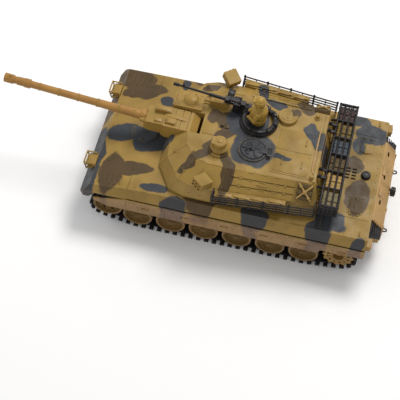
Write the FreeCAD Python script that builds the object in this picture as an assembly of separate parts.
"""Radio-controlled toy battle tank, drawn in millimetres.

The front points to -Y, the tank's left side to +X, and Z = 0 is the floor.
Everything is drawn about the middle of the hull, and save() sets it down with
the origin under the middle of the whole model, muzzle included.
"""
import FreeCAD, Part
import math
import os

os.makedirs("parts", exist_ok=True)

V = FreeCAD.Vector
X_AXIS = V(1, 0, 0)
Y_AXIS = V(0, 1, 0)
Z_AXIS = V(0, 0, 1)

# ---- driving dimensions -------------------------------------------------
SHIFT_Y = 50.98             # hull middle to the origin, along Y

HULL_HALF_LENGTH = 165.0
HULL_HALF_WIDTH = 87.2      # upper hull, at the seam over the skirts
DECK_HALF_WIDTH = 81.0
DECK_Z = 65.0
SEAM_Z = 53.0
LIP_Z = 46.0
BROW_Y = -154.0             # top edge of the steep front face
BROW_Z = 61.0
DECK_END_Y = 151.0          # where the deck turns down into the rear panel
GLACIS_TOP_Y = -76.0
FENDER_Y = -112.0
FENDER_Z = 64.0
WALL = 2.0

TUB_HALF_WIDTH = 56.0
TUB_WALL = 2.5
TUB_TOP_Z = 51.2
FLANGE_Z = 49.2

SKIRT_IN = 87.2
SKIRT_OUT = 88.8

BELT_INNER_X = 61.0
BELT_OUTER_X = 82.0
LUG_OUTER_X = 86.6
BELT_THICK = 2.0
LUG_HEIGHT = 1.3
LUG_PITCH = 9.0
LUG_LENGTH = 4.8

WHEEL_R = 16.5
WHEEL_Z = 20.1
WHEEL_IN_X = 63.0
WHEEL_OUT_X = 85.2
WHEEL_COUNT = 6
WHEEL_PITCH = 37.4
FIRST_WHEEL_Y = -100.0
AXLE_R = 1.5
RUNNING = 0.06              # radial clearance where a part turns on a shaft
IDLER_Y = -134.0
IDLER_Z = 28.3
SPROCKET_Y = 125.0
SPROCKET_Z = 27.0
SPROCKET_R = 17.0
BELT_GAP = 0.3

GEAR_MODULE = 0.7
GEAR_TEETH = 40
PINION_TEETH = 10
GEAR_X0 = 44.0
GEAR_X1 = 49.0

RING_Y = -8.0               # the turret turns about X = 0, Y = RING_Y
RING_R = 50.0
TURRET_LOW_Z = 68.0
TURRET_MID_Z = 84.0
ROOF_Z = 98.0

TRUNNION_Y = -60.0
TRUNNION_Z = 85.0
GUN_REST_DEG = 5.7
GUN_REACH = 214.0
NOTCH_HALF = 14.0
NOTCH_END_Y = -49.2

CUPOLA_X = -18.0
CUPOLA_Y = 10.0
LOADER_X = 20.5
LOADER_Y = 11.0
LOADER_R = 13.6
VIEWER_X = 28.5
VIEWER_Y = -24.0
GUN_MOUNT_X = -28.0
GUN_MOUNT_Y = -17.0
GUN_MOUNT_Z = 111.0
RACK_HALF = 69.0
RACK_CELLS = 6


# ---- helpers --------------------------------------------------------------
def box(x0, x1, y0, y1, z0, z1):
    return Part.makeBox(x1 - x0, y1 - y0, z1 - z0, V(x0, y0, z0))


def rod(radius, start, end):
    start = V(*start)
    way = V(*end) - start
    return Part.makeCylinder(radius, way.Length, start, way)


def ball(radius, centre):
    return Part.makeSphere(radius, V(*centre))


def face_of(points):
    return Part.Face(Part.makePolygon(points + [points[0]]))


def side_prism(outline, x0, x1):
    """A solid from (y, z) points, drawn out along X."""
    return face_of([V(x0, y, z) for y, z in outline]).extrude(V(x1 - x0, 0, 0))


def plan_prism(outline, z0, z1):
    """A solid from (x, y) points, drawn up along Z."""
    return face_of([V(x, y, z0) for x, y in outline]).extrude(V(0, 0, z1 - z0))


def mirrored(shape):
    return shape.mirror(V(0, 0, 0), X_AXIS)


def both_sides(shape):
    return Part.makeCompound([shape, mirrored(shape)])


def turned_profile(points, centre_y, centre_z):
    """A wheel-like solid from (x, r) points, spun about an axle along X."""
    outline = face_of([V(x, centre_y, centre_z + r) for x, r in points])
    return outline.revolve(V(0, centre_y, centre_z), X_AXIS, 360)


def upright_profile(points, x, y):
    """A round solid from (r, z) points, spun about an upright axis."""
    outline = face_of([V(x + r, y, z) for r, z in points])
    return outline.revolve(V(x, y, 0), Z_AXIS, 360)


def rods(radius, points):
    """Round rods through the points, with a ball at each bend."""
    pieces = [rod(radius, a, b) for a, b in zip(points, points[1:])]
    pieces += [ball(radius, p) for p in points[1:-1]]
    return pieces


def joined(pieces):
    whole = pieces[0].fuse(pieces[1:])
    return whole.removeSplitter()


def save(name, shape):
    placed = shape.copy()
    placed.translate(V(0, SHIFT_Y, 0))
    placed.exportStep("parts/" + name + ".step")
    print(name, "solids", len(placed.Solids), "valid", placed.isValid(), "cm3", round(placed.Volume / 1000, 2))


def wheel_places():
    return [FIRST_WHEEL_Y + WHEEL_PITCH * i for i in range(WHEEL_COUNT)]


# ---- hull -------------------------------------------------------------------
def lower_hull():
    outer = [(-158, FLANGE_Z), (-152, 30), (-122, 9), (138, 9), (151, 20), (151, FLANGE_Z)]
    t = TUB_WALL
    inner = [(-155, 60), (-149.3, 31.5), (-121, 9 + t), (137, 9 + t), (151 - t, 21), (151 - t, 60)]
    tub = side_prism(outer, -TUB_HALF_WIDTH, TUB_HALF_WIDTH)
    flange_y0, flange_y1 = -146.0, 148.5
    flange = box(-SKIRT_IN + 0.4, SKIRT_IN - 0.4, flange_y0, flange_y1, FLANGE_Z, TUB_TOP_Z)
    tub = tub.fuse(flange)
    tub = tub.cut(side_prism(inner, -TUB_HALF_WIDTH + t, TUB_HALF_WIDTH - t))
    holes = [(y, WHEEL_Z) for y in wheel_places()] + [(IDLER_Y, IDLER_Z), (SPROCKET_Y, SPROCKET_Z)]
    bores = [rod(AXLE_R + RUNNING, (-60, y, z), (60, y, z)) for y, z in holes]
    hatch = box(-24, 24, -62, 2, 0, 20)
    recess = box(-27, 27, -65, 5, 0, 10.3)
    return tub.cut(bores + [hatch, recess])


def battery_door():
    plate = box(-26.7, 26.7, -64.7, 4.7, 9.0, 10.2)
    rim = box(-23.6, 23.6, -61.6, 1.6, 10.2, 11.4)
    finger_slots = [box(-14, 14, y, y + 1.2, 8, 9.5) for y in (-4.0, -1.0, 2.0)]
    screw_hole = rod(1.3, (0, -61.0, 8), (0, -61.0, 12))
    return plate.fuse(rim).cut(finger_slots + [screw_hole])


def hull_profile(inset, underside):
    """Side view of the upper hull, as (y, z) points, on the given underside."""
    front = -HULL_HALF_LENGTH + inset
    end = DECK_END_Y - inset
    top = DECK_Z - inset
    brow = (BROW_Y + inset / 2, BROW_Z - inset)
    return [(front, LIP_Z - inset), brow, (FENDER_Y, FENDER_Z - inset), (GLACIS_TOP_Y, top), (end, top)] + underside


def hull_body(inset, underside):
    half = HULL_HALF_WIDTH - inset
    deck = DECK_HALF_WIDTH - inset
    body = side_prism(hull_profile(inset, underside), -half, half)
    slope = face_of([V(deck, -200, DECK_Z), V(half + 20, -200, DECK_Z), V(half + 20, -200, SEAM_Z), V(half, -200, SEAM_Z + 1)])
    slope = slope.extrude(V(0, 400, 0))
    return body.cut([slope, mirrored(slope)])


def hull_solid():
    return hull_body(0.0, [(DECK_END_Y, TUB_TOP_Z), (-147, TUB_TOP_Z), (-155, 42), (-HULL_HALF_LENGTH, 42)])


def upper_hull():
    hollow = hull_body(WALL, [(DECK_END_Y - WALL, 30), (-HULL_HALF_LENGTH + WALL, 30)])
    shell = hull_solid().cut(hollow)
    shell = shell.cut(rod(RING_R, (0, RING_Y, 55), (0, RING_Y, 75)))
    joint = box(54, 90, FENDER_Y - 0.4, FENDER_Y + 0.4, FENDER_Z - 0.9, 70)
    hatch_frame = box(30, 52, 122, 140, 64.5, 70).cut(box(31, 51, 123, 139, 60, 70))
    grille = [box(4.2 * i - 8, 4.2 * i - 5.6, y, y + 5, 64.2, 70) for i in range(4) for y in (113.5, 120.5)]
    button_hole = rod(5.4, (-1, 136, 60), (-1, 136, 70))
    cuts = [joint, mirrored(joint), hatch_frame, mirrored(hatch_frame), button_hole] + grille
    shell = shell.cut(cuts)
    corner = box(-10, 10, -10, 0, 30, 70)
    corner.rotate(V(0, 0, 0), Z_AXIS, 45)
    corner.translate(V(HULL_HALF_WIDTH - 2, 2 - HULL_HALF_LENGTH, 0))
    return shell.cut([corner, mirrored(corner)])


def skirt():
    outline = [
        (-149, 40), (-146, 39), (-132, 33.5), (101, 32), (105, 39), (151, 39), (151, SEAM_Z - 0.6),
        (-149, SEAM_Z - 4.6),
    ]
    outline = outline[:-1] + [(-112, SEAM_Z - 0.6), (-149, 44.5)]
    plate = side_prism(outline, SKIRT_IN, SKIRT_OUT)
    seams = [box(SKIRT_OUT - 0.5, 90, y - 0.4, y + 0.4, 20, 60) for y in (-112, -68, -24, 20, 64, 104)]
    lip = side_prism([(-112, SEAM_Z - 2.6), (151, SEAM_Z - 2.6), (151, SEAM_Z - 1), (-112, SEAM_Z - 1)],
                     SKIRT_IN, SKIRT_OUT + 0.5)
    return plate.cut(seams).fuse(lip)


def rear_panel():
    outline = [(151, 65), (153, 64.5), (164.5, 52), (164.5, 22), (153.4, 20), (151.1, 20.3), (151.1, 49)]
    panel = side_prism(outline, -53.0, 53.0)
    slots = [box(x - 3, x + 3, 155.5, 157.5, 50, 70) for x in (-40, -8, 26)]
    ribs = [box(-50, 50, 164, 166, z, z + 1.4) for z in (28, 34, 40)]
    return panel.cut(slots + ribs)


def rear_grilles():
    outline = [(151.2, 63), (152.5, 62.5), (163.5, 50.5), (163.5, 44), (151.2, 44)]
    block = side_prism(outline, 53.3, 63.0)
    slots = [box(50, 65, y, y + 1.0, 54, 70) for y in (153.4, 155.6, 157.8)]
    return both_sides(block.cut(slots))


def tail_lights():
    case = box(73, 84, 151.1, 156, 50, 58)
    face = box(74, 83, 155.2, 157, 51, 57)
    lens = rod(1.8, (76.4, 155, 54), (76.4, 156.3, 54))
    lens = lens.fuse(rod(1.8, (80.6, 155, 54), (80.6, 156.3, 54)))
    return both_sides(case.cut(face).fuse(lens))


def headlights():
    """Lamp box on a bracket behind a bent wire guard, one on each side."""
    x, y, z = 51.0, -161.0, 58.6
    bracket = side_prism([(y - 3.4, z - 7), (y + 8, z - 1), (y + 8, z + 2), (y - 3.4, z - 3.6)], x - 7.4, x + 7.4)
    lamps = [rod(2.9, (x + s, y - 4.6, z), (x + s, y + 5, z)) for s in (-3.4, 3.4)]
    hood = box(x - 7.0, x + 7.0, y - 3.0, y + 6, z + 1.6, z + 3.2)
    guard = []
    for side in (x - 7.6, x + 7.6):
        guard += rods(0.8, [(side, y + 6, z + 1), (side, y + 4, z + 5), (side, y - 6.4, z + 5), (side, y - 4.0, z - 5.6)])
    cross = rods(0.8, [(x - 7.6, y - 6.4, z + 5), (x + 7.6, y - 6.4, z + 5)])
    lamp_unit = joined([bracket, hood] + lamps + guard + cross)
    return both_sides(lamp_unit.cut(hull_solid()))


def tow_pintle():
    shaft = rod(3.2, (-1, 164.6, 47), (-1, 167, 47))
    knob = rod(5.4, (-1, 167, 47), (-1, 171.5, 47))
    return joined([shaft, knob])


def power_button():
    cap = upright_profile([(0, 61.5), (6.2, 61.5), (6.2, 62.6), (5.2, 62.6), (5.2, 67.6), (4.2, 69.0), (0, 69.4)], -1, 136)
    return cap


def hull_screws():
    screws = []
    for x in (-48, 48):
        for y in (-128, 0, 128):
            head = rod(2.6, (x, y, 7.6), (x, y, 9.0)).fuse(rod(1.2, (x, y, 9.0), (x, y, 10.5)))
            screws.append(head.cut(box(x - 3, x + 3, y - 0.3, y + 0.3, 7, 8.2)))
    return Part.makeCompound(screws)


def screw_holes():
    return [rod(1.3, (x, y, 8), (x, y, 14)) for x in (-48, 48) for y in (-128, 0, 128)]


def wheel_axles():
    places = [(y, WHEEL_Z) for y in wheel_places()] + [(IDLER_Y, IDLER_Z)]
    return Part.makeCompound([rod(AXLE_R, (-79.5, y, z), (79.5, y, z)) for y, z in places])


# ---- insides ------------------------------------------------------------------
def battery_pack():
    cells = []
    for y in (-52.5, -37.5, -22.5, -7.5):
        cells.append(rod(7.2, (-24, y, 30.2), (24, y, 30.2)))
    tray = box(-23, 23, -60, 0, 21.9, 27).cut([rod(7.1, (-30, y, 30.2), (30, y, 30.2)) for y in (-52.5, -37.5, -22.5, -7.5)])
    strap = box(-1.5, 1.5, -58, -2, 36.5, 38.5)
    return joined(cells + [tray, strap])


def circuit_board():
    board = box(-30, 30, 20, 70, 24, 25.6)
    chips = [box(-20, -8, 30, 42, 25.6, 28), box(2, 12, 34, 40, 25.6, 27.5), box(14, 24, 54, 64, 25.6, 34)]
    posts = [box(x - 2, x + 2, y - 2, y + 2, 11.7, 24) for x in (-26, 26) for y in (24, 66)]
    return joined([board] + chips + posts)


def speaker():
    return upright_profile([(0, 11.7), (10, 11.7), (10, 14), (15.4, 20), (15.4, 22), (13, 22), (7, 17), (0, 17)], 0, -81.3)


def pinion_centre_y():
    return SPROCKET_Y - GEAR_MODULE * (GEAR_TEETH + PINION_TEETH) / 2


def drive_motors():
    y = pinion_centre_y()
    can = rod(9.0, (8, y, SPROCKET_Z), (33, y, SPROCKET_Z))
    nose = rod(3.0, (33, y, SPROCKET_Z), (34.6, y, SPROCKET_Z))
    bore = rod(1.0 + RUNNING, (20, y, SPROCKET_Z), (36, y, SPROCKET_Z))
    flats = [box(0, 36, y - 12, y + 12, SPROCKET_Z + 7.6, 50), box(0, 36, y - 12, y + 12, 0, SPROCKET_Z - 7.6)]
    tabs = [box(5.5, 8, y + s - 1, y + s + 1, SPROCKET_Z - 2, SPROCKET_Z + 2) for s in (-5, 5)]
    motor = joined([can, nose] + tabs).cut(flats + [bore])
    return both_sides(motor)


def gearboxes():
    """Two side plates on a foot, one box for each track."""
    y = pinion_centre_y()
    plates = [box(35.2, 37.2, 92, 136, 11.8, 44), box(51.2, 53.2, 92, 136, 11.8, 44)]
    foot = box(35.2, 53.2, 92, 104, 11.8, 14)
    top = box(35.2, 53.2, 96, 100, 42, 44)
    bores = [
        rod(AXLE_R + RUNNING, (34, SPROCKET_Y, SPROCKET_Z), (56, SPROCKET_Y, SPROCKET_Z)),
        rod(1.0 + RUNNING, (34, y, SPROCKET_Z), (56, y, SPROCKET_Z)),
    ]
    return both_sides(joined(plates + [foot, top]).cut(bores))


def gear(teeth, centre_y, centre_z, bore, first_tooth_deg):
    """Spur gear along X with straight-flanked teeth and a little backlash."""
    pitch_r = GEAR_MODULE * teeth / 2
    tip_r = pitch_r + 0.85 * GEAR_MODULE
    root_r = pitch_r - 1.15 * GEAR_MODULE
    step = 2 * math.pi / teeth
    points = []
    for i in range(teeth):
        middle = math.radians(first_tooth_deg) + i * step
        for r, part in ((root_r, -0.31), (tip_r, -0.11), (tip_r, 0.11), (root_r, 0.31)):
            a = middle + part * step
            points.append((centre_y + r * math.cos(a), centre_z + r * math.sin(a)))
    blank = side_prism(points, GEAR_X0, GEAR_X1)
    return blank.cut(rod(bore, (GEAR_X0 - 1, centre_y, centre_z), (GEAR_X1 + 1, centre_y, centre_z)))


def drive_gear():
    wheel = gear(GEAR_TEETH, SPROCKET_Y, SPROCKET_Z, AXLE_R + 0.02, 180)
    windows = []
    for i in range(5):
        a = 2 * math.pi * (i + 0.5) / 5
        y = SPROCKET_Y + 8 * math.cos(a)
        z = SPROCKET_Z + 8 * math.sin(a)
        windows.append(rod(2.6, (GEAR_X0 - 1, y, z), (GEAR_X1 + 1, y, z)))
    return wheel.cut(windows)


def motor_pinion():
    y = pinion_centre_y()
    wheel = gear(PINION_TEETH, y, SPROCKET_Z, 0.4, 180 / PINION_TEETH)
    shaft = rod(1.0, (21, y, SPROCKET_Z), (53.0, y, SPROCKET_Z))
    return wheel.fuse(shaft)


def drive_axle():
    return rod(AXLE_R, (38.4, SPROCKET_Y, SPROCKET_Z), (78.0, SPROCKET_Y, SPROCKET_Z))


# ---- running gear ---------------------------------------------------------------
def road_wheel(y, z):
    """Dished double wheel, closed outside and bored from the inside."""
    face = WHEEL_OUT_X
    outer = [
        (WHEEL_IN_X, 3.2), (WHEEL_IN_X, 15.6), (WHEEL_IN_X + 0.9, WHEEL_R), (71, WHEEL_R), (71, 13.2), (76, 13.2),
        (76, WHEEL_R), (face - 0.9, WHEEL_R), (face, 15.7), (face, 13.4), (face - 2.8, 12.4), (face - 3.4, 6.4),
        (face - 2.0, 5.8), (face - 2.0, 4.0), (face - 0.6, 3.4), (face - 0.6, 0), (80.2, 0),
        (80.2, AXLE_R + RUNNING), (66, AXLE_R + RUNNING), (66, 3.2),
    ]
    return turned_profile(outer, y, z)


def idler_wheel():
    wheel = road_wheel(IDLER_Y, IDLER_Z)
    holes = []
    for i in range(6):
        a = math.radians(60 * i)
        y = IDLER_Y + 9.4 * math.cos(a)
        z = IDLER_Z + 9.4 * math.sin(a)
        holes.append(rod(2.2, (76.5, y, z), (90, y, z)))
    return wheel.cut(holes)


def toothed_ring(x0, x1):
    teeth = 12
    step = 2 * math.pi / teeth
    points = []
    for i in range(teeth):
        for r, part in ((14.9, -0.34), (SPROCKET_R, -0.16), (SPROCKET_R, 0.16), (14.9, 0.34)):
            a = (i + part) * step
            points.append((SPROCKET_Y + r * math.cos(a), SPROCKET_Z + r * math.sin(a)))
    ring = side_prism(points, x0, x1)
    windows = []
    for i in range(teeth):
        low = (i + 0.5 - 0.30) * step
        high = (i + 0.5 + 0.30) * step
        corners = [(8.2, (low + high) / 2), (12.9, low), (12.9, high)]
        outline = [(SPROCKET_Y + r * math.cos(a), SPROCKET_Z + r * math.sin(a)) for r, a in corners]
        windows.append(side_prism(outline, x0 - 1, x1 + 1))
    return ring.cut(windows)


def sprocket():
    drum = rod(9.6, (64, SPROCKET_Y, SPROCKET_Z), (84.8, SPROCKET_Y, SPROCKET_Z))
    body = joined([toothed_ring(64, 67), toothed_ring(81.4, 84.4), drum])
    cup = rod(6.2, (79.2, SPROCKET_Y, SPROCKET_Z), (90, SPROCKET_Y, SPROCKET_Z))
    boss = rod(2.6, (79.2, SPROCKET_Y, SPROCKET_Z), (81.6, SPROCKET_Y, SPROCKET_Z))
    bore = rod(AXLE_R + 0.02, (60, SPROCKET_Y, SPROCKET_Z), (78.02, SPROCKET_Y, SPROCKET_Z))
    return body.cut(cup).fuse(boss).cut(bore)


def belt_circles(grow):
    """The four circles that the belt runs round, as (y, z, r), anticlockwise seen from +X."""
    last = wheel_places()[-1]
    wheel = WHEEL_R + BELT_GAP + grow
    return [
        (SPROCKET_Y, SPROCKET_Z, SPROCKET_R + BELT_GAP + grow),
        (IDLER_Y, IDLER_Z, wheel),
        (FIRST_WHEEL_Y, WHEEL_Z, wheel),
        (last, WHEEL_Z, wheel),
    ]


def belt_runs(grow):
    """Straight runs of the loop, each as its start and end point and its two circles."""
    circles = belt_circles(grow)
    runs = []
    for i, (y0, z0, r0) in enumerate(circles):
        y1, z1, r1 = circles[(i + 1) % len(circles)]
        way = math.atan2(z1 - z0, y1 - y0)
        gap = math.hypot(y1 - y0, z1 - z0)
        normal = way - math.acos((r0 - r1) / gap)
        start = (y0 + r0 * math.cos(normal), z0 + r0 * math.sin(normal))
        end = (y1 + r1 * math.cos(normal), z1 + r1 * math.sin(normal))
        runs.append((start, end, normal))
    return runs


def belt_face(grow):
    circles = belt_circles(grow)
    runs = belt_runs(grow)
    edges = []
    for i, (start, end, normal) in enumerate(runs):
        edges.append(Part.LineSegment(V(0, *start), V(0, *end)).toShape())
        y, z, r = circles[(i + 1) % len(circles)]
        turn = (runs[(i + 1) % len(runs)][2] - normal) % (2 * math.pi)
        middle = normal + turn / 2
        halfway = V(0, y + r * math.cos(middle), z + r * math.sin(middle))
        edges.append(Part.Arc(V(0, *end), halfway, V(0, *runs[(i + 1) % len(runs)][0])).toShape())
    return Part.Face(Part.Wire(edges))


def points_along(wire, count):
    return wire.discretize(Number=count + 1)[:-1]


def track():
    face = belt_face(BELT_THICK).cut(belt_face(0.0))
    belt = face.extrude(V(BELT_OUTER_X - BELT_INNER_X, 0, 0))
    belt.translate(V(BELT_INNER_X, 0, 0))
    line = belt_face(BELT_THICK).OuterWire
    count = round(line.Length / LUG_PITCH)
    places = points_along(line, count)
    lugs = []
    for i, here in enumerate(places):
        ahead = places[(i + 1) % count] - places[i - 1]
        lug = box(BELT_INNER_X - 1, LUG_OUTER_X, -LUG_LENGTH / 2, LUG_LENGTH / 2, -1.7, LUG_HEIGHT)
        lug.rotate(V(0, 0, 0), X_AXIS, math.degrees(math.atan2(ahead.z, ahead.y)) + 180)
        lug.translate(V(0, here.y, here.z))
        lugs.append(lug)
    inside = belt_face(0.0).extrude(V(100, 0, 0))
    below_floor = box(0, 100, -200, 200, -5, 0)
    return belt.fuse(lugs).cut([inside, below_floor])


# ---- turret ------------------------------------------------------------------
LOW_OUTLINE = [(15, -88), (44, -86), (72, -69), (77, -52), (77, -12), (67, 90)]
MID_OUTLINE = [(15, -81), (42, -77), (67, -60), (72, -46), (73, -12), (64, 90)]
ROOF_OUTLINE = [(15, -62), (31, -59), (46, -46), (50, -32), (50, -12), (47, 84)]


def ring_wire(outline, z, inset):
    """Whole closed outline at a height, moved inwards by inset."""
    half = [(x - inset * (1 if x > 15 else 0), y + inset * (1 if y < 0 else -1)) for x, y in outline]
    points = [(x, y) for x, y in half] + [(-x, y) for x, y in reversed(half)]
    return Part.makePolygon([V(x, y, z) for x, y in points + [points[0]]])


def turret_body(inset, low_z, high_z):
    low = Part.makeLoft([ring_wire(LOW_OUTLINE, low_z, inset), ring_wire(MID_OUTLINE, TURRET_MID_Z, inset)], True, True)
    high = Part.makeLoft([ring_wire(MID_OUTLINE, TURRET_MID_Z, inset), ring_wire(ROOF_OUTLINE, high_z, inset)], True, True)
    return low.fuse(high).removeSplitter()


def outer_turret():
    return turret_body(0.0, TURRET_LOW_Z, ROOF_Z)


def turret_shell():
    solid = outer_turret()
    inner = turret_body(2.4, TURRET_LOW_Z - 0.01, ROOF_Z - 2.4)
    shell = solid.cut(inner)
    cheek_walls = [solid.common(box(NOTCH_HALF, NOTCH_HALF + 2.2, -100, -44, 60, 100)),
                   solid.common(box(-NOTCH_HALF - 2.2, -NOTCH_HALF, -100, -44, 60, 100)),
                   solid.common(box(-NOTCH_HALF, NOTCH_HALF, NOTCH_END_Y, NOTCH_END_Y + 2, 60, 100))]
    ears = [box(NOTCH_HALF, 20, TRUNNION_Y - 7, TRUNNION_Y + 7, 76, 93),
            box(-20, -NOTCH_HALF, TRUNNION_Y - 7, TRUNNION_Y + 7, 76, 93)]
    ears = [solid.common(ear) for ear in ears]
    shell = shell.fuse(cheek_walls + ears)
    notch = box(-NOTCH_HALF, NOTCH_HALF, -110, NOTCH_END_Y, 71, 110)
    pin_bore = rod(2.02, (-19, TRUNNION_Y, TRUNNION_Z), (19, TRUNNION_Y, TRUNNION_Z))
    loader_hole = rod(LOADER_R - 2.2, (LOADER_X, LOADER_Y, 90), (LOADER_X, LOADER_Y, 110))
    shell = shell.cut([notch, pin_bore, loader_hole])
    return joined([shell] + roof_details()).cut(roof_cuts())


def slope_point(part, y, lift):
    """A point over the left side slope: part 0 at the roof, 1 at the shoulder."""
    roof_x = 50 - 3 * (y + 12) / 96
    shoulder_x = 73 - 9 * (y + 12) / 102
    x = roof_x + (shoulder_x - roof_x) * part
    z = ROOF_Z + (TURRET_MID_Z - ROOF_Z) * part
    return V(x + 0.52 * lift, y, z + 0.85 * lift)


def slope_slab(part0, part1, y0, y1, sunk, proud):
    """A slab that lies along the left side slope."""
    ends = []
    for y in (y0, y1):
        corners = [slope_point(part0, y, -sunk), slope_point(part1, y, -sunk), slope_point(part1, y, proud),
                   slope_point(part0, y, proud)]
        ends.append(Part.makePolygon(corners + [corners[0]]))
    return Part.makeLoft(ends, True, True)


def strapped_boxes():
    """Small boxes under crossed straps, one behind the lids on each side."""
    slab = slope_slab(0.02, 0.86, 66.5, 84, 1.0, 5.0)
    return both_sides(slab.cut(outer_turret()))


def side_bins():
    """Long bins between the turret's sides and the side racks."""
    ends = []
    for y in (-17.0, 58.0):
        shoulder = 73 - 9 * max(y + 12, 0) / 102
        outer = 84.0 - 10.5 * (y + 19) / 108 - 1.6
        corners = [(shoulder - 6, 79.6), (outer, 79.6), (outer, 88.0), (shoulder + 1, 86.6), (shoulder + 1, 83.9),
                   (shoulder - 6, 83.9)]
        corners = [V(x, y, z) for x, z in corners]
        ends.append(Part.makePolygon(corners + [corners[0]]))
    return both_sides(Part.makeLoft(ends, True, True).cut(outer_turret()))


def roof_details():
    loader_ring = upright_profile(
        [(LOADER_R + 0.4, 97.5), (LOADER_R + 2.4, 97.5), (LOADER_R + 2.4, 99.2), (LOADER_R + 1.8, 99.9),
         (LOADER_R + 0.4, 99.9)], LOADER_X, LOADER_Y)
    viewer_base = upright_profile(
        [(0, 97), (12, 97), (12, 99.5), (10.6, 101), (3, 101), (3, 103.2), (0, 103.2)], VIEWER_X, VIEWER_Y)
    disc = upright_profile([(0, 97), (10.8, 97), (10.8, 101.4), (10.2, 102.2), (0, 102.2)], -32, 39.6)
    cupola_seat = upright_profile([(0, 97), (20.5, 97), (20.5, 98.6), (0, 98.6)], CUPOLA_X, CUPOLA_Y)
    panel = box(-18, 43, 33, 76, 97.5, 98.5)
    rear_bar = box(-46, 46, 80.5, 83.5, 97, 99.4)
    planks = []
    for i in range(3):
        board = slope_slab((i + 0.08) / 3, (i + 0.92) / 3, -4, 64, 0.7, 1.5)
        planks += [board, mirrored(board)]
    hinge_ears = [box(LOADER_X + s - 0.9, LOADER_X + s + 0.9, LOADER_Y + 16.2, LOADER_Y + 20.2, 97.5, 102.6)
                  for s in (-5.4, 5.4)]
    hinge_pin = rod(0.7, (LOADER_X - 5.4, LOADER_Y + 18.2, 101.2), (LOADER_X + 5.4, LOADER_Y + 18.2, 101.2))
    return [loader_ring, viewer_base, disc, cupola_seat, panel, rear_bar] + planks + hinge_ears + [hinge_pin]


def roof_cuts():
    pocket = rod(12.6, (CUPOLA_X, CUPOLA_Y, 98.6), (CUPOLA_X, CUPOLA_Y, 100))
    return [pocket]


def turret_base():
    outline = [(x, y) for x, y in LOW_OUTLINE] + [(-x, y) for x, y in reversed(LOW_OUTLINE)]
    plate = plan_prism(outline, 66.0, TURRET_LOW_Z - 0.05)
    boss = rod(RING_R - 0.5, (0, RING_Y, 60), (0, RING_Y, 66))
    well = rod(RING_R - 4.0, (0, RING_Y, 50), (0, RING_Y, 80))
    lugs = [box(-8, 8, -3, 3, 60.0, 62.4) for _ in range(3)]
    for i, lug in enumerate(lugs):
        lug.translate(V(0, RING_R - 0.6, 0))
        lug.rotate(V(0, 0, 0), Z_AXIS, 120 * i + 60)
        lug.translate(V(0, RING_Y, 0))
    return joined([plate, boss] + lugs).cut(well)


def tilted(shape):
    """Turns a piece drawn level to the gun's rest elevation."""
    shape.rotate(V(0, TRUNNION_Y, TRUNNION_Z), X_AXIS, -GUN_REST_DEG)
    return shape


def gun_profile(points):
    outline = face_of([V(r, TRUNNION_Y - d, TRUNNION_Z) for d, r in points])
    return outline.revolve(V(0, TRUNNION_Y, TRUNNION_Z), Y_AXIS, 360)


def mantlet():
    half = NOTCH_HALF - 0.5
    rear = side_prism([(-54, 77), (-54, 92), (-62, 96.5), (-92, 95.0), (-93, 78), (-88, 75), (-62, 74.6)], -half, half)
    front = side_prism([(-92, 77.5), (-92, 93.5), (-111, 91.5), (-113, 89.5), (-113, 80), (-108, 77)], -11.5, 11.5)
    side_box = box(-11.0, -4.0, -104, -86, 91, 97.6)
    coax = rod(1.6, (8.6, -118, 89), (8.6, -112, 89))
    block = joined([rear, front, side_box, coax])
    barrel_bore = rod(6.0, (0, -70, TRUNNION_Z), (0, -120, TRUNNION_Z))
    pin_bore = rod(2.0 + RUNNING, (-20, TRUNNION_Y, TRUNNION_Z), (20, TRUNNION_Y, TRUNNION_Z))
    ribs = [box(-14, 14, y, y + 0.8, 94.6, 99) for y in (-66, -74, -82)]
    return tilted(block.cut([barrel_bore, pin_bore] + ribs))


def gun_barrel():
    profile = [
        (12, 0), (12, 5.95), (53, 5.95), (53, 7.2), (58, 7.2), (59, 4.9), (108, 4.4), (109, 4.1), (184, 4.0), (184.6, 5.2),
        (191, 5.2), (191.6, 4.7), (199, 4.7), (199.6, 4.1), (203, 4.1), (203.6, 5.2), (GUN_REACH, 5.2), (GUN_REACH, 3.0),
        (178, 3.0), (178, 0),
    ]
    return tilted(gun_profile(profile))


def trunnion_pin():
    return rod(2.0, (-18.9, TRUNNION_Y, TRUNNION_Z), (18.9, TRUNNION_Y, TRUNNION_Z))


def smoke_launchers():
    """Tube block on each cheek, pointing outwards and forwards."""
    block = box(-7.5, 7.5, -13, 3, 0, 10)
    tubes = []
    for x in (-4.6, 0, 4.6):
        for z in (2.7, 7.3):
            tubes.append(rod(1.5, (x, -14, z), (x, -4, z)))
    block = block.cut(tubes)
    block.rotate(V(0, 0, 0), X_AXIS, -16)
    block.rotate(V(0, 0, 0), Z_AXIS, 50)
    block.translate(V(70.5, -30, 88.5))
    return both_sides(block.cut(outer_turret()))


def gunner_sight():
    """Sight house beside the gun, with the small periscope box behind it."""
    house = side_prism([(-86, 84), (-86, 97), (-83, 101), (-54, 101), (-54, 84)], -37, -15.2)
    window = box(-34, -18.5, -87, -84.5, 88, 97)
    periscope = side_prism([(-47, 97), (-47, 104.5), (-45, 106), (-30, 106), (-27, 103), (-27, 97)], -42, -27)
    slot = box(-39.5, -29.5, -48, -46, 99.5, 104)
    bridge = box(-36, -28, -55, -45, 95, 99)
    whole = joined([house, periscope, bridge]).cut([window, slot])
    return whole.cut(outer_turret())


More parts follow.
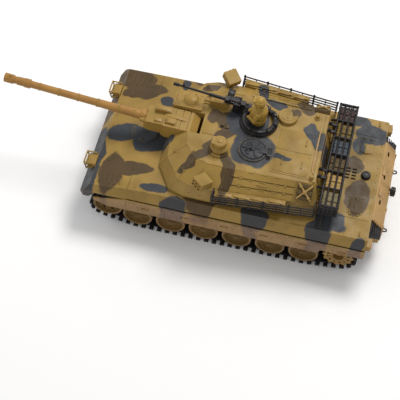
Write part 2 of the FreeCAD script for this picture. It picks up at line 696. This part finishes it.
def viewer_head():
    lower = upright_profile([(3 + RUNNING, 101.3), (9.0, 101.3), (9.6, 102.2), (9.6, 104.6), (7.6, 106.4), (7.6, 112),
                             (6.4, 113.4), (0, 113.4), (0, 103.5), (3 + RUNNING, 103.5)], VIEWER_X, VIEWER_Y)
    window = box(VIEWER_X - 4, VIEWER_X + 4, VIEWER_Y - 12, VIEWER_Y - 5.8, 107, 111.6)
    hood = box(VIEWER_X - 5, VIEWER_X + 5, VIEWER_Y - 8.4, VIEWER_Y, 111.4, 112.8)
    return lower.cut(window).fuse(hood)


def loader_hatch():
    disc = upright_profile([(0, 98.2), (LOADER_R, 98.2), (LOADER_R, 99.8), (LOADER_R - 1.2, 100.8), (0, 101.4)],
                           LOADER_X, LOADER_Y)
    spokes = []
    for i in range(3):
        bar = box(2.0, LOADER_R - 1.6, -0.5, 0.5, 101.0 - 0.6, 103)
        bar.rotate(V(0, 0, 0), Z_AXIS, 90 + 120 * i)
        bar.translate(V(LOADER_X, LOADER_Y, 0))
        spokes.append(bar)
    arm = box(LOADER_X - 3.6, LOADER_X + 3.6, LOADER_Y + 8, LOADER_Y + 18.2, 100.2, 101.6)
    barrel = rod(1.7, (LOADER_X - 4.2, LOADER_Y + 18.2, 101.2), (LOADER_X + 4.2, LOADER_Y + 18.2, 101.2))
    bore = rod(0.7 + RUNNING, (LOADER_X - 6, LOADER_Y + 18.2, 101.2), (LOADER_X + 6, LOADER_Y + 18.2, 101.2))
    handle = rods(0.8, [(LOADER_X - 4, LOADER_Y - 6, 100.6), (LOADER_X - 4, LOADER_Y - 6, 103.4),
                        (LOADER_X + 4, LOADER_Y - 6, 103.4), (LOADER_X + 4, LOADER_Y - 6, 100.6)])
    return joined([disc.cut(spokes), arm, barrel] + handle).cut(bore)


def cupola_ring():
    """Dark ring round the commander's hatch that carries the machine gun."""
    ring = upright_profile(
        [(15.2, 98.8), (20.8, 98.8), (20.8, 101.2), (19.4, 102.4), (18.6, 104.4), (16.4, 104.4), (15.2, 102.8)],
        CUPOLA_X, CUPOLA_Y)
    blocks = []
    for i in range(7):
        a = math.radians(60 + 230 * i / 6)
        block = box(-3, 3, -1.6, 1.6, 102.0, 105.6)
        block.rotate(V(0, 0, 0), Z_AXIS, math.degrees(a) + 90)
        block.translate(V(CUPOLA_X + 17.8 * math.cos(a - math.pi / 2), CUPOLA_Y + 17.8 * math.sin(a - math.pi / 2), 0))
        block.rotate(V(CUPOLA_X + 17.8 * math.cos(a - math.pi / 2), CUPOLA_Y + 17.8 * math.sin(a - math.pi / 2), 0),
                     Z_AXIS, -90)
        blocks.append(block)
    arm = box(GUN_MOUNT_X - 6, GUN_MOUNT_X + 6, GUN_MOUNT_Y - 2, CUPOLA_Y - 16.6, 101.0, 103.4)
    cheeks = [box(GUN_MOUNT_X + s - 0.8, GUN_MOUNT_X + s + 0.8, GUN_MOUNT_Y - 4, GUN_MOUNT_Y + 4, 101.0, 114.0)
              for s in (-5.2, 5.2)]
    pin = rod(1.1, (GUN_MOUNT_X - 5.2, GUN_MOUNT_Y, GUN_MOUNT_Z), (GUN_MOUNT_X + 5.2, GUN_MOUNT_Y, GUN_MOUNT_Z))
    return joined([ring] + blocks + [arm] + cheeks + [pin])


def machine_gun():
    x, y, z = GUN_MOUNT_X, GUN_MOUNT_Y, GUN_MOUNT_Z
    receiver = box(x - 3.0, x + 3.0, y - 14, y + 9, z - 2.6, z + 3.0)
    cover = box(x - 2.4, x + 2.4, y - 10, y + 4, z + 3.0, z + 4.2)
    barrel = rod(1.25, (x, y - 68, z), (x, y - 14, z))
    jacket = rod(1.9, (x, y - 32, z), (x, y - 14, z))
    muzzle = rod(1.8, (x, y - 72, z), (x, y - 67, z))
    grips = [rod(0.9, (x + s, y + 9, z - 1), (x + s, y + 13, z - 1)) for s in (-2.2, 2.2)]
    cross = rod(0.8, (x - 3.4, y + 12.4, z - 1), (x + 3.4, y + 12.4, z - 1))
    ammo = box(x + 3.0, x + 4.3, y - 8, y + 1, z + 1.6, z + 3.0)
    tray = box(x - 4.2, x - 3.0, y - 9, y + 1, z + 1.7, z + 3.0)
    whole = joined([receiver, cover, barrel, jacket, muzzle, cross, ammo, tray] + grips)
    whole = whole.cut(rod(1.1 + RUNNING, (x - 7, y, z), (x + 7, y, z)))
    whole.rotate(V(x, y, z), X_AXIS, -8)
    return whole


def soldier():
    """Half figure standing in the hatch: torso, arms, head and helmet."""
    x, y = CUPOLA_X, CUPOLA_Y - 1.0
    torso = upright_profile([(0, 98.7), (7.6, 98.7), (8.6, 106), (9.4, 118), (8.0, 123.5), (3.0, 126.5), (0, 126.5)], x, y)
    squeeze = FreeCAD.Matrix()
    squeeze.scale(V(1.0, 0.72, 1.0))
    torso = torso.transformGeometry(shifted(squeeze, x, y))
    head = ball(5.0, (x, y - 1.4, 131.2))
    helmet = upright_profile([(0, 131.4), (6.6, 131.4), (6.8, 133), (5.8, 137), (3.2, 139.0), (0, 139.4)], x, y - 1.0)
    neck = rod(2.8, (x, y, 124), (x, y, 130))
    arms = []
    for s in (-1, 1):
        shoulder = (x + s * 8.8, y, 120.4)
        elbow = (x + s * 11.6, y - 3.0, 111.0)
        hand = (x + s * 4.0, y - 8.0, 110.5)
        arms += rods(2.3, [shoulder, elbow, hand]) + [ball(2.3, hand), ball(2.8, shoulder)]
    body = torso
    for piece in [head, helmet, neck] + arms:
        body = body.fuse(piece)
    return body.removeSplitter()


def shifted(matrix, x, y):
    """The same matrix, worked about the point (x, y)."""
    away = FreeCAD.Matrix()
    away.move(V(-x, -y, 0))
    back = FreeCAD.Matrix()
    back.move(V(x, y, 0))
    return back * matrix * away


def side_racks():
    front, rear = (84.0, -19.0), (73.5, 89.0)
    inner_front, inner_rear = (74.2, -19.0), (64.0, 89.0)
    pieces = []
    for z in (76.6, 80.8, 85.0, 89.2):
        pieces += rods(0.8, [(inner_front[0] - 1, inner_front[1], z), (front[0], front[1], z), (rear[0], rear[1], z)])
        pieces += [ball(0.8, (rear[0], rear[1], z))]
        pieces += [rod(0.8, (rear[0], rear[1], z), (inner_rear[0] - 1, rear[1], z))]
    for part in (0.0, 0.25, 0.5, 0.75, 1.0):
        x = front[0] + (rear[0] - front[0]) * part
        y = front[1] + (rear[1] - front[1]) * part
        pieces.append(rod(1.05, (x, y, 75.6), (x, y, 90.2)))
        pieces.append(rod(0.65, (x, y, 78.7), (x - 12, y, 78.7)))
    return both_sides(joined(pieces).cut(outer_turret()))


def bustle_rack():
    x, y0, y1 = RACK_HALF, 93.0, 112.0
    low, high = 80.0, 95.0
    pieces = []
    for z in (low, high):
        loop = [(-x, y0, z), (-x, y1, z), (x, y1, z), (x, y0, z), (-x, y0, z), (-x, y1, z)]
        pieces += rods(1.2, loop)
    middle = (low + high) / 2
    pieces += rods(0.9, [(-x, y0, middle), (-x, y1, middle), (x, y1, middle), (x, y0, middle)])
    for i in range(RACK_CELLS + 1):
        at = -x + 2 * x * i / RACK_CELLS
        corners = [(at, y0, low), (at, y1, low), (at, y1, high), (at, y0, high), (at, y0, low)]
        pieces += [rod(1.1, a, b) for a, b in zip(corners, corners[1:])]
    for s in (-2 * x / 3, 2 * x / 3):
        pieces.append(rod(1.3, (s, 87.0, low), (s, y0, low)))
        pieces.append(rod(1.3, (s, 82.0, 91), (s, y0, high)))
    return joined(pieces).cut(outer_turret())


def bustle_boxes():
    boxes = []
    width = 2 * RACK_HALF / RACK_CELLS
    for i in range(RACK_CELLS):
        x = -RACK_HALF + width * i
        boxes.append(box(x + 1.5, x + width - 1.5, 94.6, 110.4, 81.4, 93.4))
    return Part.makeCompound(boxes)


def mirror_pair(name, shape):
    save("left_" + name, shape)
    save("right_" + name, mirrored(shape))


# ---- write every piece ------------------------------------------------------------
save("lower_hull", lower_hull().cut(screw_holes()))
save("battery_door", battery_door())
save("upper_hull", upper_hull())
mirror_pair("skirt", skirt())
save("rear_panel", rear_panel())
save("rear_grilles", rear_grilles())
save("tail_lights", tail_lights())
save("headlights", headlights())
save("tow_pintle", tow_pintle())
save("power_button", power_button())
save("hull_screws", hull_screws())
save("wheel_axles", wheel_axles())
save("battery_pack", battery_pack())
save("circuit_board", circuit_board())
save("speaker", speaker())
save("drive_motors", drive_motors())
save("gearboxes", gearboxes())
mirror_pair("drive_gear", drive_gear())
mirror_pair("motor_pinion", motor_pinion())
mirror_pair("drive_axle", drive_axle())
mirror_pair("sprocket", sprocket())
mirror_pair("idler", idler_wheel())
for number, place in enumerate(wheel_places(), 1):
    mirror_pair("road_wheel_" + str(number), road_wheel(place, WHEEL_Z))
mirror_pair("track", track())
save("turret_shell", turret_shell())
save("turret_base", turret_base())
save("mantlet", mantlet())
save("gun_barrel", gun_barrel())
save("trunnion_pin", trunnion_pin())
save("smoke_launchers", smoke_launchers())
save("gunner_sight", gunner_sight())
save("viewer_head", viewer_head())
save("loader_hatch", loader_hatch())
save("cupola_ring", cupola_ring())
save("machine_gun", machine_gun())
save("soldier", soldier())
save("side_racks", side_racks())
save("bustle_rack", bustle_rack())
save("bustle_boxes", bustle_boxes())
save("strapped_boxes", strapped_boxes())
save("side_bins", side_bins())
